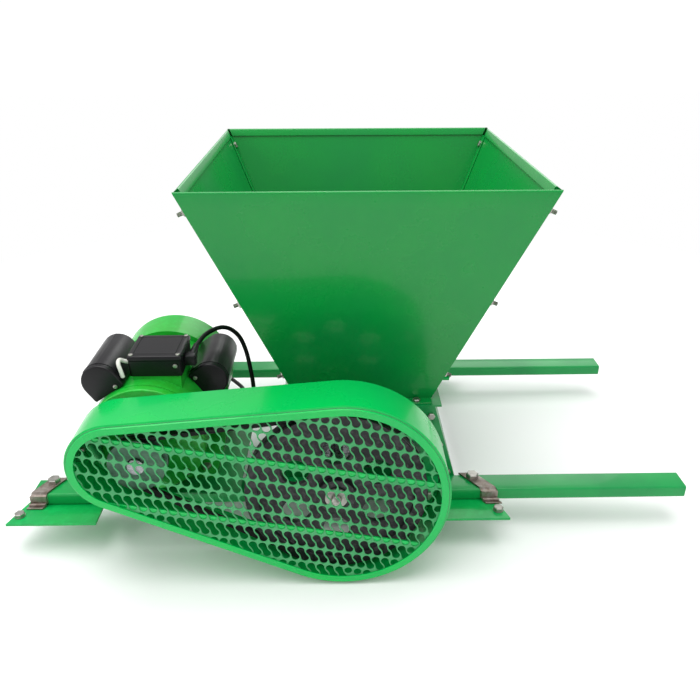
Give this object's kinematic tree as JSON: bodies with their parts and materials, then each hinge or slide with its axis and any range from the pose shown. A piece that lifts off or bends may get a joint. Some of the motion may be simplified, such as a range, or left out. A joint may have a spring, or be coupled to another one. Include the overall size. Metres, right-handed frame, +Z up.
{
  "type": "grape crusher",
  "caption": "Electric grape crusher: pyramid sheet hopper over two fluted rollers, belt driven by a side motor behind a perforated guard, on a pair of rails that lie across a vat.",
  "frame": {"origin": "midway between the two rails and 500 mm in from their long free ends, in the plane of the feet's undersides, where the machine rests across a vat's rim", "axes": "+X along the rails towards their long free ends, +Y from the pulley guard to the gear side, +Z up"},
  "size_m": [1.046, 0.619, 0.5455],
  "materials": {
    "rail_paint": "green enamel on rolled rectangular tube",
    "foot_paint": "green enamel on cut plate",
    "strap_steel": "bare mild steel, dull and slightly rusted",
    "zinc_plate": "zinc plated fasteners",
    "body_paint": "green enamel on folded sheet",
    "hopper_paint": "glossy green enamel on folded sheet",
    "guard_paint": "bright green enamel",
    "grille_paint": "thin green coat on perforated sheet",
    "roller_aluminium": "as cast and turned",
    "shaft_steel": "turned bright",
    "cast_housing": "cast, thinly painted",
    "gear_steel": "hobbed and oiled",
    "black_casting": "black enamelled casting",
    "pulley_metal": "turned alloy",
    "belt_rubber": "wrapped V-belt",
    "motor_paint": "green enamel",
    "lamination_steel": "varnished laminations",
    "fan_plastic": "moulded",
    "black_plastic": "moulded, lightly glossy",
    "lead_white": "white insulated lead",
    "cord_rubber": "rubber sheathed mains lead"
  },
  "bodies": {
    "frame": {"rail_front": "rail_paint", "rail_rear": "rail_paint", "foot_front_left": "foot_paint", "foot_front_right": "foot_paint", "foot_rear_left": "foot_paint", "foot_rear_right": "foot_paint", "clamp_straps": "strap_steel", "strap_bolts": "zinc_plate", "foot_bolts": "zinc_plate", "frame_bolts": "zinc_plate", "bearing_bolts": "zinc_plate", "gear_cover_screws": "zinc_plate", "hopper_bolts": "zinc_plate", "motor_bolts": "zinc_plate", "guard_bolts": "zinc_plate", "body_front_panel": "body_paint", "body_rear_panel": "body_paint", "body_left_panel": "body_paint", "body_right_panel": "body_paint", "body_top_plate": "body_paint", "gear_cover": "body_paint", "cross_tubes": "body_paint", "motor_base_plate": "body_paint", "guard_brackets": "body_paint", "hopper_front_panel": "hopper_paint", "hopper_rear_panel": "hopper_paint", "hopper_left_panel": "hopper_paint", "hopper_right_panel": "hopper_paint", "guard_band": "guard_paint", "guard_bars": "guard_paint", "guard_grille": "grille_paint", "bearing_inserts": "shaft_steel", "motor_bearings": "shaft_steel", "bearing_housings": "cast_housing", "v_belt": "belt_rubber", "motor_housing": "motor_paint", "motor_front_shield": "motor_paint", "motor_rear_shield": "motor_paint", "motor_cowl": "motor_paint", "motor_stator": "lamination_steel", "terminal_box": "black_plastic", "terminal_lid": "black_plastic", "capacitor_covers": "black_plastic", "cord_gland": "black_plastic", "plug": "black_plastic", "capacitor_lead": "lead_white", "power_cord": "cord_rubber", "cord_coil": "cord_rubber"},
    "drive_roller_set": {"drive_roller": "roller_aluminium", "drive_shaft": "shaft_steel", "drive_gear": "gear_steel", "drive_pulley": "black_casting", "pulley_retainer": "zinc_plate"},
    "driven_roller_set": {"driven_roller": "roller_aluminium", "driven_shaft": "shaft_steel", "driven_gear": "gear_steel"},
    "motor_rotor_set": {"motor_rotor": "lamination_steel", "motor_shaft": "shaft_steel", "motor_fan": "fan_plastic", "motor_pulley": "pulley_metal"}
  },
  "joints": [
    {"name": "roller_spin", "type": "hinge", "parent": "frame", "child": "drive_roller_set", "pos_m": [-0.048, 0, 0.09], "axis": [0, 1, 0], "continuous": true},
    {"name": "driven_roller_spin", "type": "hinge", "parent": "frame", "child": "driven_roller_set", "pos_m": [0.04, 0, 0.09], "axis": [0, 1, 0], "continuous": true},
    {"name": "motor_spin", "type": "hinge", "parent": "frame", "child": "motor_rotor_set", "pos_m": [-0.319, 0, 0.1425], "axis": [0, 1, 0], "continuous": true}
  ],
  "couplings": [
    {"joint": "driven_roller_spin", "follows": "roller_spin", "ratio": -1},
    {"joint": "motor_spin", "follows": "roller_spin", "ratio": 3.5143}
  ]
}
